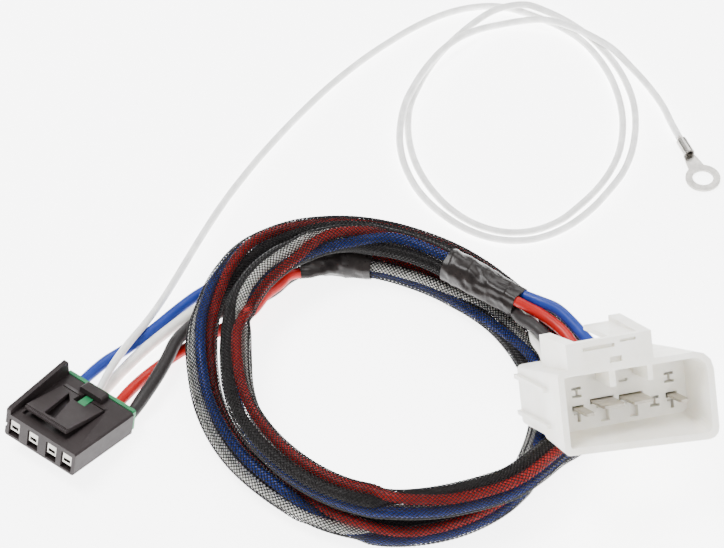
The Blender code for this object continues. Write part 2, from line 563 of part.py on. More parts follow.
sleeve_line = smooth(SLEEVE_ROUTE)
sleeve_run = lengths(sleeve_line)
SLEEVE_END = sleeve_run[-1]


def sections(start, end, turn, longest):
    picks = [s for s in stations(sleeve_line, turn, longest)
             if start + 3.0 < s < end - 3.0]
    picks = [start] + picks + [end]
    pairs = [at(sleeve_line, sleeve_run, s) for s in picks]
    return picks, [p for p, h in pairs], [h for p, h in pairs]


for name, start, end, mat in (
        ("plug_end_tape", 0.0, TAPE_1, TAPE[0]),
        ("braided_sleeve", TAPE_1 + TAPE_GAP, SLEEVE_END - TAPE_2 - TAPE_GAP, BRAID),
        ("socket_end_tape", SLEEVE_END - TAPE_2, SLEEVE_END, TAPE[1])):
    picks, centres, headings = sections(start, end, 13.5, 14.0)
    tube(name, centres, headings, SLEEVE_R, SLEEVE_INNER_R, 12, mat)


def lay(where):
    """Turn of the wire bundle inside the sleeve, in quarter turns."""
    share = (where - 0.35 * SLEEVE_END) / (0.6 * SLEEVE_END)
    return BUNDLE_TURN * max(0.0, min(1.0, share))


def bundled(slot, offset):
    """Points of one wire inside the sleeve.  Slots: 0 outer, 1 top, 2 inner, 3 bottom."""
    out = []
    for where in stations(sleeve_line, 13.5, 14.0):
        centre, heading = at(sleeve_line, sleeve_run, where)
        right, up = level_frame(heading)
        angle = math.radians(90.0 * (slot - lay(where)))
        out.append(centre - offset * math.cos(angle) * right + offset * math.sin(angle) * up)
    return out


def thin(points, turn, longest):
    line = smooth(points)
    run = lengths(line)
    return [at(line, run, s)[0] for s in stations(line, turn, longest)]


def main_wire(name, plug_x, plug_z, first, slot, offset, last, blade, radius, mat):
    inside = bundled(slot, offset)
    cx, cz = BLADES[blade][0], BLADES[blade][1]
    plug_end = [in_frame(PLUG, plug_x, y, plug_z) for y in (15.3, 19.0, 23.0, 27.3)]
    back = (-ORIGIN_SHIFT[0], -ORIGIN_SHIFT[1], 0)
    plug_end = [p + Vector(back) for p in plug_end]
    socket_end = [in_frame(SOCKET, cx, y, cz) + Vector(back) for y in (38.0, 34.0, 30.5, 27.3)]
    start = thin(plug_end + [Vector(p) for p in first] + inside[:2], 14.0, 7.5)
    end = thin(inside[-2:] + [Vector(p) for p in last] + socket_end, 16.0, 7.5)
    middle = inside[2:-2]
    cut_start = [p for p in start if (p - inside[0]).length > 3.0 and p is not start[-1]]
    cut_start = [p for p in cut_start if (p - inside[1]).length > (inside[0] - inside[1]).length]
    cut_end = [p for p in end[1:] if (p - inside[-1]).length > 3.0]
    cut_end = [p for p in cut_end
               if (p - inside[-2]).length > (inside[-1] - inside[-2]).length]
    points = cut_start + inside[:2] + middle + inside[-2:] + cut_end
    return cord(name, points, radius, mat)


main_wire("blue_wire", CAVITY_X[0], WIRE_Z, BLUE_IN, 1, WIRE_OFFSET, BLUE_OUT,
          "narrow_right", WIRE_R, BLUE)
main_wire("white_wire", CAVITY_X[1], LOW_WIRE_Z, WHITE_IN, 0, WIRE_OFFSET, WHITE_OUT,
          "narrow_left", WIRE_R, WHITE)
main_wire("red_wire", CAVITY_X[2], WIRE_Z, RED_IN, 2, WIRE_OFFSET, RED_OUT,
          "wide_right", WIRE_R, RED)
main_wire("black_wire", CAVITY_X[3], WIRE_Z, BLACK_IN, 3, BLACK_OFFSET, BLACK_OUT,
          "wide_left", BLACK_R, CHARCOAL)

# ---------------------------------------------------------------- earth wire and ring
axis = Vector((*BARREL_AXIS, 0)).normalized()
ring_centre = Vector((*RING_CENTRE, 0))
wire_end = ring_centre + axis * 17.0 + Vector((0, 0, BARREL_Z))
wire_start = [in_frame(PLUG, CAVITY_X[1], y, GROUND_Z + rise) - Vector((*ORIGIN_SHIFT, 0))
              for y, rise in ((15.3, 0), (20.0, 0), (24.9, 0.02), (28.3, 0.4))]
ground = wire_start + [Vector(p) for p in GROUND_ROUTE] + [wire_end]
cord("ground_wire", thin(ground, 13.0, 13.0), GROUND_R, WHITE_THIN)

ring_frame = Matrix.Translation(shifted(ring_centre))
ring_frame = ring_frame @ Matrix.Rotation(math.atan2(axis.y, axis.x), 4, "Z")
plan = []
for k in range(25):
    angle = math.radians(28 + k * (360 - 56) / 24)
    plan.append((RING_OD / 2 * math.cos(angle), RING_OD / 2 * math.sin(angle)))
plan += [(8.0, -2.0), (10.6, -1.5), (10.6, 1.5), (8.0, 2.0)]
ring = make("ring_terminal", [prism(plan, "Z", 0, RING_T)], ring_frame, TIN[8])


def disc(radius, sides, axis_name, low, high, centre):
    outline = [(centre[0] + radius * math.cos(2 * math.pi * (k + 0.5) / sides),
                centre[1] + radius * math.sin(2 * math.pi * (k + 0.5) / sides))
               for k in range(sides)]
    return prism(outline, axis_name, low, high)


barrel = make("ring_barrel", [disc(BARREL_R, 16, "X", 9.6, 15.6, (0, BARREL_Z))],
              ring_frame, cutter=True)
combine(ring, barrel, "UNION")
ring_cut = make("ring_cut", [disc(RING_HOLE / 2, 32, "Z", -1, 2, (0, 0)),
                             disc(BARREL_BORE, 12, "X", 9.4, 17, (0, BARREL_Z))],
                ring_frame, cutter=True)
combine(ring, ring_cut, "DIFFERENCE")
make("ground_wire_strands", [disc(0.75, 10, "X", 10.6, 16.7, (0, BARREL_Z))],
     ring_frame, TIN[9])
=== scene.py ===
"""Looks of the wiring adapter harness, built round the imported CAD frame.
Sizes in this file are in millimetres until a mesh or a curve is made."""
import math

import bpy
import numpy as np
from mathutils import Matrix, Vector


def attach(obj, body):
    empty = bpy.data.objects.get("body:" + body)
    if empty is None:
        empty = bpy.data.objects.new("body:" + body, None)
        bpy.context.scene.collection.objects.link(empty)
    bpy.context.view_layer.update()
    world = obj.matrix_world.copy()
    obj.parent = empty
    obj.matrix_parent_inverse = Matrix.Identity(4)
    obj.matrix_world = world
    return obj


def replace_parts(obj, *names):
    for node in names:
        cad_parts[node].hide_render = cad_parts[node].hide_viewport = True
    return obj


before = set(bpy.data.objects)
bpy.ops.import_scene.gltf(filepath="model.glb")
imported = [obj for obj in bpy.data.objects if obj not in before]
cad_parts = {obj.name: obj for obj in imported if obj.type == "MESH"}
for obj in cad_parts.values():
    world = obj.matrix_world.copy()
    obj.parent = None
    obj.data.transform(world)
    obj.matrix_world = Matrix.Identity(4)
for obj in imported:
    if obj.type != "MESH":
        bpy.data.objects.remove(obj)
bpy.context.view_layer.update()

MM = 0.001
BODY = "harness"

# ---------------------------------------------------------------- driving sizes (mm)
ORIGIN_SHIFT = np.array((-1.703, 1.708, 0.0))
VIEW_CENTRE = np.array((3.0, 67.0, 0.0))
WIRE_R, BLACK_R, GROUND_R = 1.5, 1.72, 1.1
LOOSE_SWELL = 0.12
SLEEVE_R = 4.7
TAPE_1, TAPE_2 = 22.0, 25.0
RING_CENTRE = np.array((105.7, 105.5, 0.0))
BARREL_AXIS = np.array((-0.367, 0.930, 0.0))
BARREL_Z, BARREL_MOUTH = 1.65, 17.0

PLUG_D = 25.3
PLUG_YAW, PLUG_PITCH = math.radians(-37.73), math.radians(12.57)
PLUG_CORNER = np.array((-97.4, 1.89, PLUG_D * math.sin(PLUG_PITCH)))
CAVITY_X = (3.3, 10.05, 16.8, 22.4)
WIRE_Z, LOW_WIRE_Z, GROUND_Z = 3.75, 2.38, 5.06
SOCKET_D = 34.0
SOCKET_BACK_CORNER = np.array((47.9, -0.8, 12.4))
SOCKET_ACROSS = np.array((0.95078, 0.29524, -0.09408))
SOCKET_FORWARD = np.array((0.28960, -0.73867, 0.60869))
# how far back along its own axes a wire's straight start and end have their points
PLUG_STATIONS = (15.3, 19.0, 23.0, 27.3)
SOCKET_STATIONS = (38.0, 34.0, 30.5, 27.3)
GROUND_STATIONS = ((15.3, 0), (20.0, 0), (24.9, 0.02), (28.3, 0.4))
# centre across and up of the chamber behind each blade
CHAMBERS = {"narrow_left": (9.4, 7.0), "wide_left": (16.5, 8.2),
            "wide_right": (25.0, 8.0), "narrow_right": (36.8, 6.3)}

# ---------------------------------------------------------------- routes (mm)
SLEEVE_ROUTE = [
    (-15.5, 66, 4.8), (-4, 67.7, 4.8), (5, 67, 4.8), (15, 63.8, 4.8), (27.2, 57.6, 4.8),
    (38.2, 48.8, 4.8), (46.5, 38.5, 4.8), (51.5, 28.5, 4.8), (54, 19, 4.8), (54.5, 11, 4.8),
    (54, 3.5, 4.8), (52, -4, 4.8), (48.5, -11.5, 4.8), (43.5, -18.8, 4.8), (36, -25, 4.8),
    (26, -29.8, 4.8), (13, -32, 4.8), (0, -29.9, 4.8), (-11.5, -24.5, 4.8),
    (-22, -16.5, 4.8), (-31, -6.5, 4.8), (-37, 4, 4.8), (-40.7, 14.5, 5.2),
    (-42.3, 24, 7), (-42.8, 32, 8.7), (-42.3, 40, 9.2), (-40, 50, 9.3),
    (-36, 59.2, 9.2), (-30.5, 67.6, 8.5), (-22, 74.9, 6.4), (-12, 79.3, 5.1),
    (0, 80.3, 4.8), (10.5, 78.1, 4.8), (20.8, 73.8, 4.8), (30.5, 68.3, 4.8),
    (39.5, 61.3, 4.8), (48.8, 52, 4.8), (57.5, 42, 4.8), (64.5, 32, 4.8),
    (67.8, 20.5, 4.8), (67.6, 12.5, 4.8), (66.3, 6, 5.0), (64.4, 1.2, 6.1),
    (61.2, -4.4, 9.2), (56.3, -10.7, 12.7), (49.9, -18.4, 14.7), (43.6, -23.7, 15),
    (37, -26.4, 14.8), (29.8, -28.6, 14.6), (21.6, -30.3, 14.5), (13, -30.6, 14.5),
    (4, -28.8, 14.4), (-4.3, -25.6, 14.3), (-13.5, -19.3, 14.1), (-22.5, -9.8, 13.8),
    (-28.7, 1, 13.4), (-31.6, 11.3, 13.2), (-32.6, 22.4, 13.2), (-32.6, 33.4, 13.5),
    (-31.6, 41.5, 13.9), (-29.2, 47.9, 14.3), (-25.9, 53.3, 14.7), (-21.5, 58, 14.9),
    (-16.5, 61.9, 14.9), (-9.5, 65.8, 14.9), (-0.5, 67.6, 14.9), (9.5, 66.5, 14.8),
    (19.5, 63, 14.7), (28.5, 57.5, 14.6), (38.5, 49.9, 14.6), (48, 42.5, 14.6),
]
# each wire between the back of the plug and the first tape wrap
BLUE_IN = [
    (-70.5, 30.3, 3.2), (-64.5, 36.6, 1.9), (-57.5, 43.8, 1.6), (-50.2, 52, 1.6),
    (-44.6, 57.6, 1.6), (-40.2, 60.8, 1.6), (-35.6, 61.9, 1.8), (-30.8, 62, 3.2),
    (-26, 62.8, 5.4), (-20.1, 64.7, 6.8),
]
WHITE_IN = [
    (-66.5, 26.8, 1.8), (-60.3, 35.4, 1.6), (-53.6, 43, 1.6), (-47.2, 49.6, 1.6),
    (-41.4, 54.4, 1.6), (-35.5, 57.4, 1.6), (-29.4, 58.8, 1.65), (-25, 61.8, 1.75),
    (-21.4, 66.2, 3.4),
]
RED_IN = [
    (-61.6, 21.5, 3.0), (-57, 28, 1.7), (-50, 34.8, 1.6), (-43, 40.2, 1.6),
    (-36, 45.2, 1.6), (-29.1, 49.8, 2.8), (-25, 55, 4.4), (-21, 58.4, 5.2),
    (-18.4, 61.5, 5.4),
]
BLACK_IN = [
    (-58, 17.6, 5.0), (-55, 23.5, 5.6), (-52.6, 29.5, 5.8), (-50.6, 35.5, 5.6),
    (-48.2, 41, 3.8), (-44.6, 46.6, 2.1), (-38.5, 50.4, 1.9), (-32, 53.4, 1.9),
    (-27, 56, 1.9), (-22.6, 59.3, 1.9), (-19, 63.2, 2.1),
]
# each wire between the second tape wrap and the back of the socket
BLUE_OUT = [(54.2, 41.4, 16.5), (58.7, 39, 16.2), (63.3, 34.3, 15), (66.6, 30.2, 13.8),
            (71, 26.2, 11.9), (76, 23.6, 10.4), (79.3, 21, 10.2)]
RED_OUT = [(51, 39.6, 15.8), (54.6, 37.8, 14.8), (59.9, 33.1, 13.8), (62.8, 28.5, 13.2),
           (66.4, 21.5, 12.4)]
BLACK_OUT = [(48.6, 37.4, 13.6), (51.4, 34.8, 14.2), (55, 30.3, 14.2), (58.4, 24, 13.6),
             (60.3, 17.2, 13.3)]
WHITE_OUT = [(51.2, 41.4, 11.8), (52.2, 36.8, 10.7), (52.6, 32, 10.7), (54.8, 27, 11),
             (55.8, 20.4, 11.2), (55.2, 13.6, 12.2)]
GROUND_ROUTE = [
    (-68.8, 24.8, 6.2), (-66.3, 30, 6.4), (-63.6, 35.8, 5.8), (-60.2, 43.2, 4.0),
    (-57, 51, 2.2), (-53.7, 59, 1.3), (-50, 68, 1.15), (-45, 80, 1.15), (-39.5, 92.3, 1.15),
    (-34, 103, 1.15), (-28, 113.5, 1.15), (-22, 123, 1.15), (-16, 131.8, 1.15),
    (-10, 140, 1.15), (-3.5, 148, 1.15), (4, 156.2, 1.15), (11.5, 163.3, 1.15),
    (18.5, 169.2, 1.15), (25.5, 174, 1.15), (32, 177.2, 1.15), (38.5, 179, 1.15),
    (44.5, 179.4, 1.15), (51, 177.9, 1.15), (58.5, 174.2, 1.15), (65.5, 169.8, 1.15),
    (71.5, 164, 1.15), (76, 157, 1.15), (79.5, 148.8, 1.15), (81.6, 140.5, 1.15),
    (82.6, 132, 1.15), (82.3, 123.5, 1.15), (80.8, 115.3, 1.15), (77.8, 107.5, 1.15),
    (73.6, 100.3, 1.15), (68.2, 93.6, 1.15), (61.5, 87, 1.15), (53, 83, 1.15), (44.5, 82.8, 1.15),
    (36.5, 86, 1.15), (29.3, 92.2, 1.15), (23.3, 101, 1.15), (19.5, 110, 1.15),
    (17.5, 119, 1.15), (17, 127.5, 1.15), (17.8, 135.5, 1.15), (20.2, 143.3, 1.15),
    (23.5, 151.3, 1.15), (28, 159.3, 1.2), (33.3, 166, 1.6), (38.8, 171.2, 2.6),
    (44, 174.8, 3.5), (49.5, 176.9, 3.75), (55, 177.5, 3.6), (60.5, 176.2, 2.3),
    (66.5, 173.2, 1.2), (72.5, 167.5, 1.15), (78, 160, 1.15), (82, 152.4, 1.15),
    (84.6, 145, 1.15), (86.2, 137.5, 1.15), (86.6, 130, 1.15), (86, 122.5, 1.15),
    (84.4, 114.6, 1.15), (81.5, 106.9, 1.15), (76.8, 99.2, 1.15), (70.8, 91.2, 1.15),
    (62.8, 84, 1.15), (54, 79.9, 1.15), (45, 79.5, 1.15), (36.5, 82.4, 1.15),
    (28, 88.9, 1.15), (20.4, 98.7, 1.15), (16, 109.5, 1.4), (14.5, 118.5, 1.9),
    (14.8, 126.5, 2.9), (16.3, 134.3, 3.5), (19.2, 142, 3.6), (23, 149.8, 3.6),
    (28, 157.3, 3.7), (33.6, 163.1, 3.5), (39.4, 167.6, 2.4), (46, 170.9, 1.3),
    (53, 172, 1.9), (59.2, 171.3, 3.2), (64.8, 169.3, 3.7), (70, 166.4, 3.8),
    (75.2, 162.7, 3.8), (80.8, 157.8, 3.6), (86.3, 151.4, 2.0), (91, 143.9, 1.6),
    (95, 135.3, 1.65), (97.6, 126.8, 1.65),
]


# ---------------------------------------------------------------- camera
def make_camera(elevation=math.radians(48.0), distance=1.05, lens=177.5):
    """Looks along +Y and down, from far enough away (in metres) to be nearly flat."""
    target = Vector((VIEW_CENTRE + ORIGIN_SHIFT) * MM)
    data = bpy.data.cameras.new("camera")
    data.lens, data.sensor_width = lens, 36.0
    data.clip_start, data.clip_end = 0.05, 20.0
    camera = bpy.data.objects.new("camera", data)
    camera.location = target + distance * Vector((0, -math.cos(elevation),
                                                  math.sin(elevation)))
    camera.rotation_euler = (math.pi / 2 - elevation, 0, 0)
    bpy.context.scene.collection.objects.link(camera)
    bpy.context.scene.camera = camera


make_camera()


# ---------------------------------------------------------------- lines in space
CURVE_STEP, CORD_STEP, BUNDLE_STEP = 0.4, 1.1, 1.5


def unit(v):
    return v / np.maximum(np.linalg.norm(v, axis=-1, keepdims=True), 1e-12)


def smooth(points, step=0.5):
    """A centripetal curve through route points, as points about `step` mm apart."""
    pts = np.array(points, float)
    pts = np.vstack([2 * pts[0] - pts[1], pts, 2 * pts[-1] - pts[-2]])
    out = []
    for a, b, c, d in zip(pts, pts[1:], pts[2:], pts[3:]):
        t0 = 0.0
        t1 = t0 + math.sqrt(np.linalg.norm(b - a))
        t2 = t1 + math.sqrt(np.linalg.norm(c - b))
        t3 = t2 + math.sqrt(np.linalg.norm(d - c))
        count = max(2, int(np.linalg.norm(c - b) / step))
        t = (t1 + (t2 - t1) * np.arange(count) / count)[:, None]
        a1 = a + (b - a) * (t - t0) / (t1 - t0)
        a2 = b + (c - b) * (t - t1) / (t2 - t1)
        a3 = c + (d - c) * (t - t2) / (t3 - t2)
        b1 = a1 + (a2 - a1) * (t - t0) / (t2 - t0)
        b2 = a2 + (a3 - a2) * (t - t1) / (t3 - t1)
        out.append(b1 + (b2 - b1) * (t - t1) / (t2 - t1))
    return np.vstack(out + [pts[-2][None]])


class Line:
    """A line in space that can be read at any distance from its start."""

    def __init__(self, points):
        self.points = points
        self.run = np.concatenate(
            [[0], np.cumsum(np.linalg.norm(np.diff(points, axis=0), axis=1))])
        self.length = self.run[-1]

    def at(self, where):
        where = np.atleast_1d(where)
        return np.stack([np.interp(where, self.run, self.points[:, k]) for k in range(3)],
                        axis=1)

    def heading(self, where, reach=1.2):
        where = np.atleast_1d(where)
        low, high = np.clip(where - reach, 0, None), np.clip(where + reach, None, self.length)
        return unit(self.at(high) - self.at(low))

    def level(self, where):
        """Right-hand and upward directions at each distance."""
        heading = self.heading(where)
        right = unit(np.cross(heading, np.array((0.0, 0.0, 1.0))))
        return right, np.cross(right, heading)


SLEEVE = Line(smooth(SLEEVE_ROUTE))


def plug_point(x, y, z):
    """A point in the plug's own axes, in the harness's."""
    cy, sy = math.cos(PLUG_YAW), math.sin(PLUG_YAW)
    cp, sp = math.cos(PLUG_PITCH), math.sin(PLUG_PITCH)
    back, rise = y * cp + z * sp, z * cp - y * sp
    return PLUG_CORNER + np.array((cy * x - sy * back, sy * x + cy * back, rise))


def socket_axes():
    across = unit(SOCKET_ACROSS)
    back = unit(-SOCKET_FORWARD + across * (SOCKET_FORWARD @ across))
    return across, back, np.cross(across, back)


def socket_point(x, y, z):
    """A point in the socket's own axes, in the harness's."""
    across, back, up = socket_axes()
    origin = SOCKET_BACK_CORNER - back * SOCKET_D
    return origin + across * x + back * y + up * z


# ---------------------------------------------------------------- the bundle in the sleeve
# Where the white, blue, red and black wires lie in the sleeve, by distance along it:
# 0 outer, 1 top, 2 inner, 3 bottom.
RADII = np.array((WIRE_R, WIRE_R, WIRE_R, BLACK_R))
BUNDLE_KEYS = [
    (0, (0, 1, 2, 3)), (6, (0, 1, 2, 3)), (24, (1.6, 2.7, 0.6, 3.6)), (46, (1.6, 2.7, 0.6, 3.6)),
    (60, (0.8, 1.9, -0.1, 2.9)), (76, (0.3, 1.4, 3.4, 2.4)), (84, (0, 1, 3, 2)),
    (94, (2, 1, 3, 0)), (116, (2, 1, 3, 0)),
    (134, (2.6, 3.6, 0.6, 1.6)), (166, (2.6, 3.6, 0.4, 1.4)), (186, (0, 3, 1, 2)),
    (202, (0, 1, 2, 3)), (262, (0, 1, 2, 3)), (300, (3, 0, 1, 2)), (328, (2.2, 3.2, 0.2, 1.2)),
    (380, (2, 3, 0, 1)), (425, (3, 0, 2, 1)), (468, (2.6, 3.6, 0.6, 1.6)),
    (500, (2.6, 3.6, 0.6, 1.6)), (515, (3, 0, 1, 2)), (531, (2.6, 3.5, 1.6, 0.5)),
    (568, (2.4, 3.4, 1.4, 0.4)), (602, (2, 3, 1, 0)), (616, (1, 3, 2, 0)),
    (636, (1, 3, 2, 0)), (648, (0, 2, 1, 3)), (655, (0, 2, 1, 3)), (667, (3, 1, 0, 2)),
    (686, (3, 1, 0, 2)), (698, (3.4, 0.4, 1.4, 2.4)), (712, (3.4, 0.4, 1.4, 2.4)),
]
RING_OF_WIRES = 2.66
ROOM_FOR_WIRES = 4.36
WIRE_GAP = 0.04
# each settling turn pulls a wire this share towards its place, and towards its neighbours
SETTLING_TURNS, PULL_TO_PLACE, PULL_STRAIGHT = 220, 0.04, 0.3
PART_BY, PART_EVERY = 0.25, 9.0


def lay_bundle(where):
    """Cross-section places (right, up) of the four wires at each distance, kept apart."""
    runs = [k for k, slots in BUNDLE_KEYS]
    places = np.zeros((4, len(where), 2))
    for w in range(4):
        angle = [math.pi / 2 * slots[w] for k, slots in BUNDLE_KEYS]
        for axis, part in ((0, [-math.cos(a) for a in angle]),
                           (1, [math.sin(a) for a in angle])):
            places[w, :, axis] = np.interp(where, runs, part) * RING_OF_WIRES
    # a wire that crosses the others starts a little way off their plane, so they part
    places += (PART_BY * np.sin(where / PART_EVERY + np.arange(4)[:, None])[:, :, None]
               * (1, -1))
    target = places.copy()
    for _ in range(SETTLING_TURNS):
        places += PULL_TO_PLACE * (target - places)
        middle = 0.5 * (places[:, :-2] + places[:, 2:])
        places[:, 1:-1] += PULL_STRAIGHT * (middle - places[:, 1:-1])
        for a in range(4):
            for b in range(a + 1, 4):
                gap = places[b] - places[a]
                far = np.linalg.norm(gap, axis=1, keepdims=True)
                short = np.maximum(0, RADII[a] + RADII[b] + WIRE_GAP - far)
                push = 0.5 * short * gap / np.maximum(far, 1e-6)
                places[a] -= push
                places[b] += push
        for w in range(4):
            far = np.linalg.norm(places[w], axis=1, keepdims=True)
            places[w] *= np.minimum(1, (ROOM_FOR_WIRES - RADII[w]) / np.maximum(far, 1e-6))
    return places


BUNDLE_AT = np.arange(0.0, SLEEVE.length, BUNDLE_STEP)
BUNDLE = lay_bundle(BUNDLE_AT)


def bundle_line(index):
    """One wire's line inside the sleeve."""
    right, up = SLEEVE.level(BUNDLE_AT)
    place = BUNDLE[index]
    return SLEEVE.at(BUNDLE_AT) + place[:, :1] * right + place[:, 1:] * up


def wire_line(index, plug_x, plug_z, first, last, chamber):
    """The whole route of a main wire, from its terminal to the socket's chamber."""
    start = [plug_point(plug_x, y, plug_z) for y in PLUG_STATIONS]
    cx, cz = CHAMBERS[chamber]
    end = [socket_point(cx, y, cz) for y in SOCKET_STATIONS]
    inside = bundle_line(index)
    keys = np.vstack([start, first, inside[1:-1:4], inside[-1:], last, end])
    line = Line(smooth(keys, CURVE_STEP))
    return line.at(np.arange(0, line.length, CORD_STEP))


# ---------------------------------------------------------------- making pieces
def link(obj):
    bpy.context.scene.collection.objects.link(obj)
    return obj


def mesh_piece(name, verts, faces, mat, smooth_angle=None):
    """A piece that rides on the harness, from points in mm."""
    mesh = bpy.data.meshes.new(name)
    mesh.from_pydata(((np.asarray(verts, float) + ORIGIN_SHIFT) * MM).tolist(), [],
                     [tuple(int(i) for i in f) for f in faces])
    mesh.materials.append(mat)
    mesh.validate()
    mesh.shade_smooth()
    if smooth_angle is not None:
        mesh.set_sharp_from_angle(angle=math.radians(smooth_angle))
    obj = link(bpy.data.objects.new(name, mesh))
    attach(obj, BODY)
    return obj


def cord_piece(name, points, radius, mat, swell=None):
    """A round cord on one open spline, with closed ends; `swell` scales it point by point."""
    curve = bpy.data.curves.new(name, "CURVE")
    curve.dimensions = "3D"
    curve.bevel_depth = radius * MM
    curve.bevel_resolution = 5
    curve.use_fill_caps = True
    curve.twist_mode = "MINIMUM"
    spline = curve.splines.new("POLY")
    spline.points.add(len(points) - 1)
    spline.use_smooth = True
    for spot, point in zip(spline.points, (points + ORIGIN_SHIFT) * MM):
        spot.co = (*point, 1.0)
    if swell is not None:
        spline.points.foreach_set("radius", swell)
    curve.materials.append(mat)
    obj = link(bpy.data.objects.new(name, curve))
    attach(obj, BODY)
    return obj


# ---------------------------------------------------------------- materials
class Nodes:
    """Short names for building a material's node tree, with textures in object space."""

    def __init__(self, name):
        self.mat = bpy.data.materials.new(name)
        self.mat.use_nodes = True
        self.tree = self.mat.node_tree
        self.shader = self.tree.nodes["Principled BSDF"]
        self.place = self.add("ShaderNodeTexCoord").outputs["Object"]

    def add(self, kind, **values):
        node = self.tree.nodes.new(kind)
        for key, value in values.items():
            setattr(node, key, value)
        return node

    def join(self, out, socket):
        self.tree.links.new(out, socket)

    def noise(self, scale, detail=3.0, rough=0.5, stretch=None):
        node = self.add("ShaderNodeTexNoise")
        node.inputs["Scale"].default_value = scale
        node.inputs["Detail"].default_value = detail
        node.inputs["Roughness"].default_value = rough
        place = self.place
        if stretch:
            mapping = self.add("ShaderNodeMapping")
            mapping.inputs["Scale"].default_value = stretch
            self.join(place, mapping.inputs["Vector"])
            place = mapping.outputs["Vector"]
        self.join(place, node.inputs["Vector"])
        return node.outputs["Fac"]

    def ramp(self, fac, stops):
        node = self.add("ShaderNodeValToRGB")
        while len(node.color_ramp.elements) < len(stops):
            node.color_ramp.elements.new(0.5)
        for element, (where, colour) in zip(node.color_ramp.elements, stops):
            element.position = where
            element.color = (*colour, 1.0)
        self.join(fac, node.inputs["Fac"])
        return node.outputs["Color"]

    def spread(self, fac, low, high):
        node = self.add("ShaderNodeMapRange")
        node.inputs["To Min"].default_value = low
        node.inputs["To Max"].default_value = high
        self.join(fac, node.inputs["Value"])
        return node.outputs["Result"]

    def bump(self, *layers):
        """layers: (height, strength, distance in mm)."""
        normal = None
        for height, strength, distance in layers:
            node = self.add("ShaderNodeBump")
            node.inputs["Strength"].default_value = strength
            node.inputs["Distance"].default_value = distance * MM
            self.join(height, node.inputs["Height"])
            if normal:
                self.join(normal, node.inputs["Normal"])
            normal = node.outputs["Normal"]
        self.join(normal, self.shader.inputs["Normal"])

    def set(self, **values):
        for key, value in values.items():
            self.shader.inputs[key.replace("_", " ")].default_value = value


def shades(colour, share):
    """A darker and a lighter version of a colour."""
    return (tuple(c * (1 - share) for c in colour),
            tuple(min(1, c * (1 + share)) for c in colour))


def insulation(name, colour, rough=0.36):
    """Drawn vinyl insulation: even colour, faint ripples and handling haze."""
    n = Nodes(name)
    dark, light = shades(colour, 0.12)
    n.join(n.ramp(n.noise(260, 4), [(0.3, dark), (0.7, light)]), n.shader.inputs["Base Color"])
    n.join(n.spread(n.noise(700, 3), rough - 0.08, rough + 0.12), n.shader.inputs["Roughness"])
    n.bump((n.noise(380, 2), 0.25, 0.12), (n.noise(2600, 2), 0.15, 0.03))
    n.set(IOR=1.45, Specular_IOR_Level=0.3)
    return n.mat


def moulding(name, colour, rough, grain=3200, share=0.14, subsurface=0.0, tint=None,
             specular=0.5):
    """Moulded plastic: fine spark grain, slight flow marks, paler or warmer in patches."""
    n = Nodes(name)
    dark, light = shades(colour, share)
    stops = [(0.32, dark), (0.68, light)]
    if tint:
        stops = [(0.3, tint), (0.62, light)]
    n.join(n.ramp(n.noise(95, 5, 0.6), stops), n.shader.inputs["Base Color"])
    n.join(n.spread(n.noise(420, 4), rough - 0.09, rough + 0.1), n.shader.inputs["Roughness"])
    n.bump((n.noise(grain, 3, 0.6), 0.3, 0.03), (n.noise(210, 2), 0.12, 0.15))
    n.set(IOR=1.5, Specular_IOR_Level=specular)
    if subsurface:
        n.set(Subsurface_Weight=subsurface, Subsurface_Scale=0.0015,
              Subsurface_Radius=(1.0, 0.9, 0.7))
    return n.mat


def tin(name, colour, rough=0.3):
    """Tin plate on stamped strip: soft streaks, dull patches, small dents."""
    n = Nodes(name)
    dark, light = shades(colour, 0.22)
    n.join(n.ramp(n.noise(340, 5, 0.6), [(0.3, dark), (0.7, light)]),
           n.shader.inputs["Base Color"])
    n.join(n.spread(n.noise(900, 4, 0.6), rough - 0.1, rough + 0.16),
           n.shader.inputs["Roughness"])
    n.bump((n.noise(1500, 3, stretch=(1, 1, 0.3)), 0.25, 0.05), (n.noise(330, 2), 0.3, 0.12))
    n.set(Metallic=1.0)
    return n.mat


def filament():
    """Black braid monofilament: dark, slightly glossy."""
    n = Nodes("braid_filament")
    n.join(n.ramp(n.noise(900, 3), [(0.3, (0.003, 0.0028, 0.003)),
                                    (0.75, (0.010, 0.009, 0.009))]),
           n.shader.inputs["Base Color"])
    n.join(n.spread(n.noise(1500, 2), 0.3, 0.5), n.shader.inputs["Roughness"])
    n.set(IOR=1.5, Specular_IOR_Level=0.2)
    return n.mat


def tape():
    """Wrinkled vinyl tape."""
    n = Nodes("wrapped_tape")
    n.join(n.ramp(n.noise(420, 5, 0.6), [(0.3, (0.008, 0.0062, 0.006)),
                                         (0.75, (0.021, 0.017, 0.016))]),
           n.shader.inputs["Base Color"])
    n.join(n.spread(n.noise(600, 3), 0.2, 0.42), n.shader.inputs["Roughness"])
    n.bump((n.noise(520, 4, 0.6), 0.35, 0.12), (n.noise(2100, 3), 0.15, 0.04))
    n.set(IOR=1.5, Specular_IOR_Level=0.2)
    return n.mat


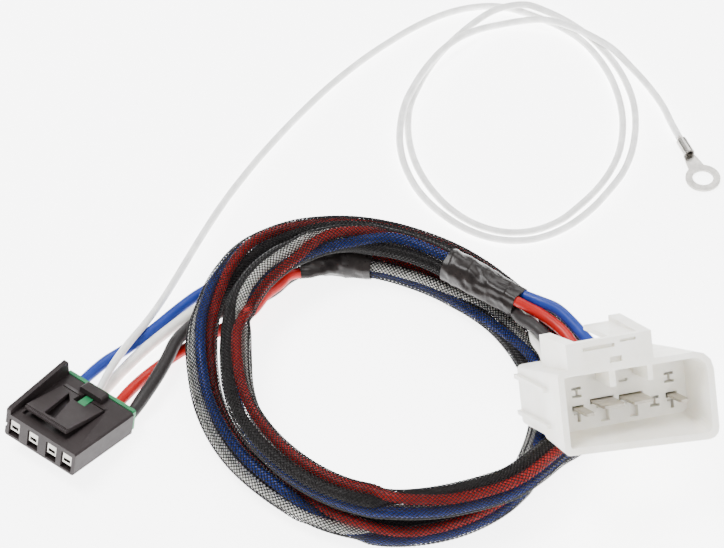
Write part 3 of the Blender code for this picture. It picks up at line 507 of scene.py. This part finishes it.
BLUE = insulation("wire_blue_vinyl", (0.012, 0.034, 0.24))
RED = insulation("wire_red_vinyl", (0.38, 0.008, 0.006))
BLACK = insulation("wire_black_vinyl", (0.017, 0.0145, 0.0145), 0.5)
WHITE = insulation("wire_white_vinyl", (0.88, 0.87, 0.82))
THIN_WHITE = insulation("ground_wire_vinyl", (0.88, 0.875, 0.86))
PLUG_PLASTIC = moulding("plug_moulding", (0.023, 0.0178, 0.018), 0.5, specular=0.18)
LOCK_PLASTIC = moulding("lock_moulding", (0.018, 0.17, 0.065), 0.42, specular=0.3)
NYLON = moulding("nylon_moulding", (0.92, 0.9, 0.84), 0.42, grain=1600, share=0.04,
                 subsurface=0.25, tint=(0.86, 0.835, 0.76))
TIN = tin("tin_plate", (0.33, 0.318, 0.297))
BLADE_TIN = tin("blade_tin", (0.45, 0.412, 0.352), 0.36)
BARE = tin("bare_strands", (0.6, 0.56, 0.5), 0.35)
FILAMENT = filament()
TAPE = tape()


# ---------------------------------------------------------------- cords
# a wire is held this near the sleeve's middle and this far along in the plug, and swells
# to its full size over the next few mm
SLEEVE_HOLD, SLEEVE_EASE = 3.0, 4.0
PLUG_HOLD, PLUG_EASE = 13.0, 5.0


def loose_swell(points):
    """The insulation is a little fuller where nothing squeezes it."""
    near = np.linalg.norm(points[:, None] - SLEEVE.points[None, ::4], axis=2).min(axis=1)
    free = (np.clip((near - SLEEVE_HOLD) / SLEEVE_EASE, 0, 1)
            * np.clip((Line(points).run - PLUG_HOLD) / PLUG_EASE, 0, 1))
    return 1.0 + LOOSE_SWELL * free


def main_wires():
    """The four circuit wires, from the plug's terminals to the socket's chambers."""
    plans = (
        ("white", 0, CAVITY_X[1], LOW_WIRE_Z, WHITE_IN, WHITE_OUT, "narrow_left", WIRE_R, WHITE),
        ("blue", 1, CAVITY_X[0], WIRE_Z, BLUE_IN, BLUE_OUT, "narrow_right", WIRE_R, BLUE),
        ("red", 2, CAVITY_X[2], WIRE_Z, RED_IN, RED_OUT, "wide_right", WIRE_R, RED),
        ("black", 3, CAVITY_X[3], WIRE_Z, BLACK_IN, BLACK_OUT, "wide_left", BLACK_R, BLACK),
    )
    for colour, index, plug_x, plug_z, first, last, chamber, radius, mat in plans:
        points = wire_line(index, plug_x, plug_z, first, last, chamber)
        piece = cord_piece(colour + "_wire_insulated", points, radius, mat,
                           loose_swell(points))
        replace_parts(piece, colour + "_wire")


def ground_wire():
    """The thin lead that shares the second cavity and ends in the ring terminal's barrel."""
    start = [plug_point(CAVITY_X[1], y, GROUND_Z + rise)
             for y, rise in GROUND_STATIONS]
    end = RING_CENTRE + unit(BARREL_AXIS) * BARREL_MOUTH + np.array((0, 0, BARREL_Z))
    line = Line(smooth(np.vstack([start, GROUND_ROUTE, end]), CURVE_STEP))
    points = line.at(np.append(np.arange(0, line.length - 0.6, CORD_STEP), line.length))
    piece = cord_piece("ground_wire_insulated", points, GROUND_R, THIN_WHITE)
    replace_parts(piece, "ground_wire")
    return piece, points, line.length


# ---------------------------------------------------------------- braided sleeve
STRANDS = 24
BRAID_PITCH = 29.5
BRAID_STEP = BRAID_PITCH / (2 * STRANDS)
WEAVE = 0.13
STRAND_W, STRAND_H = 0.28, 0.2
UNDER_TAPE = 5.0
BRAID_FROM, BRAID_TO = TAPE_1 - UNDER_TAPE, SLEEVE.length - TAPE_2 + UNDER_TAPE
# how far the slack braid sinks from a round tube towards the wires under it, 0 to 1
DRAPE = 0.75
SKIN_ANGLES = np.linspace(0, 2 * math.pi, 90, endpoint=False)
LEAST_LEAN = 0.25


def bundle_outline(where, angles):
    """Distance from the sleeve's middle to a skin stretched round the four wires."""
    places = np.stack([np.stack([np.interp(where, BUNDLE_AT, BUNDLE[w, :, k])
                                 for k in (0, 1)], axis=-1) for w in range(4)])
    spoke = np.stack([np.cos(SKIN_ANGLES), np.sin(SKIN_ANGLES)])
    support = (places @ spoke + RADII[:, None, None]).max(axis=0)
    lean = np.cos(angles[:, None] - SKIN_ANGLES[None])[None]
    reach = np.where(lean > LEAST_LEAN,
                     support[:, None, :] / np.maximum(lean, LEAST_LEAN), np.inf)
    return reach.min(axis=2)


def draped_skin(where):
    """The braid's radius at each distance and skin angle: it hangs partly round, and
    partly lies on the wires."""
    hull = bundle_outline(where, SKIN_ANGLES) + WEAVE + 0.16
    full = SLEEVE_R - 0.12 + 0.08 * np.sin(where / 17.0)[:, None]
    return full + DRAPE * (np.minimum(hull, full) - full)


def skin_at(skin, angle):
    """One value for each distance, read off the skin at that distance's angle."""
    count = skin.shape[1]
    spot = (angle / (2 * math.pi) * count) % count
    low = spot.astype(int)
    row = np.arange(len(angle))
    share = spot - low
    return skin[row, low % count] * (1 - share) + skin[row, (low + 1) % count] * share


def braid_family(name, turn):
    """All the strands that wind one way, woven two over and two under."""
    where = np.arange(BRAID_FROM, BRAID_TO, BRAID_STEP)
    centre = SLEEVE.at(where)
    right, up = SLEEVE.level(where)
    skin = draped_skin(where)
    section = np.array(((-STRAND_W / 2, -STRAND_H / 3), (STRAND_W / 2, -STRAND_H / 3),
                        (0, 2 * STRAND_H / 3)))
    sides, count = len(section), len(where)
    verts, faces = [], []
    for strand in range(STRANDS):
        angle = 2 * math.pi * (strand / STRANDS + turn * where / BRAID_PITCH)
        crossing = 2 * strand + turn * 2 * where * STRANDS / BRAID_PITCH
        height = turn * WEAVE * np.cos(math.pi / 2 * (crossing - 0.5))
        outward = np.cos(angle)[:, None] * right + np.sin(angle)[:, None] * up
        line = centre + (skin_at(skin, angle) + height)[:, None] * outward
        along = unit(np.gradient(line, axis=0))
        aside = unit(np.cross(along, outward))
        rows = [line + x * aside + y * outward for x, y in section]
        first = len(verts) * sides * count
        verts.append(np.stack(rows, axis=1).reshape(-1, 3))
        k = first + sides * np.arange(count - 1)
        for i in range(sides):
            j = (i + 1) % sides
            faces.append(np.stack([k + i, k + j, k + sides + j, k + sides + i], axis=1))
        last = first + sides * (count - 1)
        caps = np.array(((first + 2, first + 1, first), (last, last + 1, last + 2)))
        faces.append(np.hstack([caps, caps[:, :1]]))
    quads = np.vstack(faces)
    faces = [tuple(q) if q[3] != q[0] else tuple(q[:3]) for q in quads.tolist()]
    return mesh_piece(name, np.vstack(verts), faces, FILAMENT)


def braid():
    """Both families of strands stand for the sleeve; its cord is their shared middle line."""
    left = braid_family("braid_strands_left", 1)
    right = braid_family("braid_strands_right", -1)
    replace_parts(left, "braided_sleeve")


# ---------------------------------------------------------------- tape wraps
TAPE_SIDES, TAPE_ROWS = 72, 90
TAPE_T, TAPE_LAP, LAP_RISE = 0.22, 6.5, 0.13
WRINKLES, WRINKLE_HEIGHT = 16, 0.05


def tape_wrap(name, node, start, end, wire_side, seed):
    """Tape wound round the end of the sleeve and on round the bare wires."""
    sides = TAPE_SIDES
    where = np.linspace(start, end, TAPE_ROWS)
    angles = np.linspace(0, 2 * math.pi, sides, endpoint=False)
    share = (where - start) / (end - start)
    if wire_side == "start":
        share = 1 - share
    on_wires = np.clip((share - 0.35) / 0.4, 0, 1)
    on_wires = (on_wires ** 2 * (3 - 2 * on_wires))[:, None]
    hull = bundle_outline(where, angles) + 0.3
    radius = (1 - on_wires) * (SLEEVE_R + TAPE_T) + on_wires * np.minimum(hull, SLEEVE_R + 0.1)
    rng = np.random.default_rng(seed)
    helix = (where[:, None] / TAPE_LAP + angles[None] / (2 * math.pi)) % 1.0
    radius = radius + LAP_RISE * np.clip(1 - helix * 4.5, 0, 1)
    for _ in range(WRINKLES):
        around = rng.integers(2, 11)
        along = rng.uniform(0.15, 1.1)
        phase = rng.uniform(0, 2 * math.pi, 2)
        ripple = np.sin(angles[None] * around + phase[0] + where[:, None] * along * 0.5)
        radius += WRINKLE_HEIGHT * ripple * np.sin(where[:, None] * along + phase[1])
    centre = SLEEVE.at(where)
    right, up = SLEEVE.level(where)
    spokes = (np.cos(angles)[None, :, None] * right[:, None]
              + np.sin(angles)[None, :, None] * up[:, None])
    outer = centre[:, None] + radius[:, :, None] * spokes
    inner = centre[:, None] + (radius - TAPE_T)[:, :, None] * spokes
    # the skin turns in at both ends, and a flat cap behind each turn closes it
    layers = [inner[1], inner[0], *outer, inner[-1], inner[-2]]
    faces = []
    for r in range(len(layers) - 1):
        for i in range(sides):
            j = (i + 1) % sides
            faces.append((r * sides + i, r * sides + j, (r + 1) * sides + j,
                          (r + 1) * sides + i))
    for row in (0, len(layers) - 1):
        faces.append(tuple(range(row * sides, row * sides + sides)))
    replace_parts(mesh_piece(name, np.vstack(layers), faces, TAPE, 50), node)


# ---------------------------------------------------------------- carried-over CAD nodes
def soften(node, width, angle=32.0, segments=2):
    """Rounds a CAD node's edges for show; its own mesh stays as it is."""
    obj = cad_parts[node]
    weld = obj.modifiers.new("weld", "WELD")
    weld.merge_threshold = 0.002 * MM
    bevel = obj.modifiers.new("edges", "BEVEL")
    bevel.width = width * MM
    bevel.segments = segments
    bevel.limit_method = "ANGLE"
    bevel.angle_limit = math.radians(angle)
    bevel.use_clamp_overlap = True
    bevel.harden_normals = True


def paint(node, mat):
    """Gives a CAD node its material for show."""
    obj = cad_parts[node]
    obj.data.materials.clear()
    obj.data.materials.append(mat)


def dress_cad():
    for node, mat, width in (
            ("plug_housing", PLUG_PLASTIC, 0.22), ("plug_latch_arm", PLUG_PLASTIC, 0.18),
            ("plug_lock", LOCK_PLASTIC, 0.15), ("socket_housing", NYLON, 0.3),
            ("ring_terminal", TIN, 0.15), ("ground_wire_strands", BARE, 0.1)):
        paint(node, mat)
        soften(node, width)
    for number in range(1, 5):
        paint("plug_terminal_%d" % number, TIN)
        soften("plug_terminal_%d" % number, 0.12)
    for place in CHAMBERS:
        paint("socket_blade_" + place, BLADE_TIN)
        soften("socket_blade_" + place, 0.12)


# ---------------------------------------------------------------- stage
def stage():
    """A plain pale floor under soft light."""
    floor_mat = Nodes("floor_paper")
    floor_mat.set(Base_Color=(0.9, 0.9, 0.9, 1.0), Roughness=0.9, Emission_Strength=5.2,
                  Emission_Color=(1, 1, 1, 1))
    mesh = bpy.data.meshes.new("floor")
    half = 3.0
    mesh.from_pydata([(-half, -half, 0), (half, -half, 0), (half, half, 0), (-half, half, 0)],
                     [], [(0, 1, 2, 3)])
    mesh.materials.append(floor_mat.mat)
    floor = link(bpy.data.objects.new("floor", mesh))
    floor.location.z = -0.0004

    world = bpy.data.worlds.new("world")
    world.use_nodes = True
    world.node_tree.nodes["Background"].inputs["Color"].default_value = (1, 1, 1, 1)
    world.node_tree.nodes["Background"].inputs["Strength"].default_value = 0.62
    bpy.context.scene.world = world

    for name, place, size, power in (
            ("key", (-0.45, 0.15, 1.1), 0.5, 20.0), ("fill", (0.7, -0.6, 0.8), 0.8, 8.0),
            ("rim", (0.3, 0.9, 0.9), 0.6, 8.0)):
        lamp = bpy.data.lights.new(name, "AREA")
        lamp.size, lamp.energy = size, power
        obj = link(bpy.data.objects.new(name, lamp))
        obj.location = place
        aim = Vector((0.0, 0.05, 0.0)) - Vector(place)
        obj.rotation_euler = aim.to_track_quat("-Z", "Y").to_euler()


# ---------------------------------------------------------------- build
main_wires()
ground, ground_points, ground_length = ground_wire()
braid()
tape_wrap("plug_end_tape_wrap", "plug_end_tape", 0.0, TAPE_1, "start", 3)
tape_wrap("socket_end_tape_wrap", "socket_end_tape", SLEEVE.length - TAPE_2, SLEEVE.length,
          "end", 8)
dress_cad()
stage()
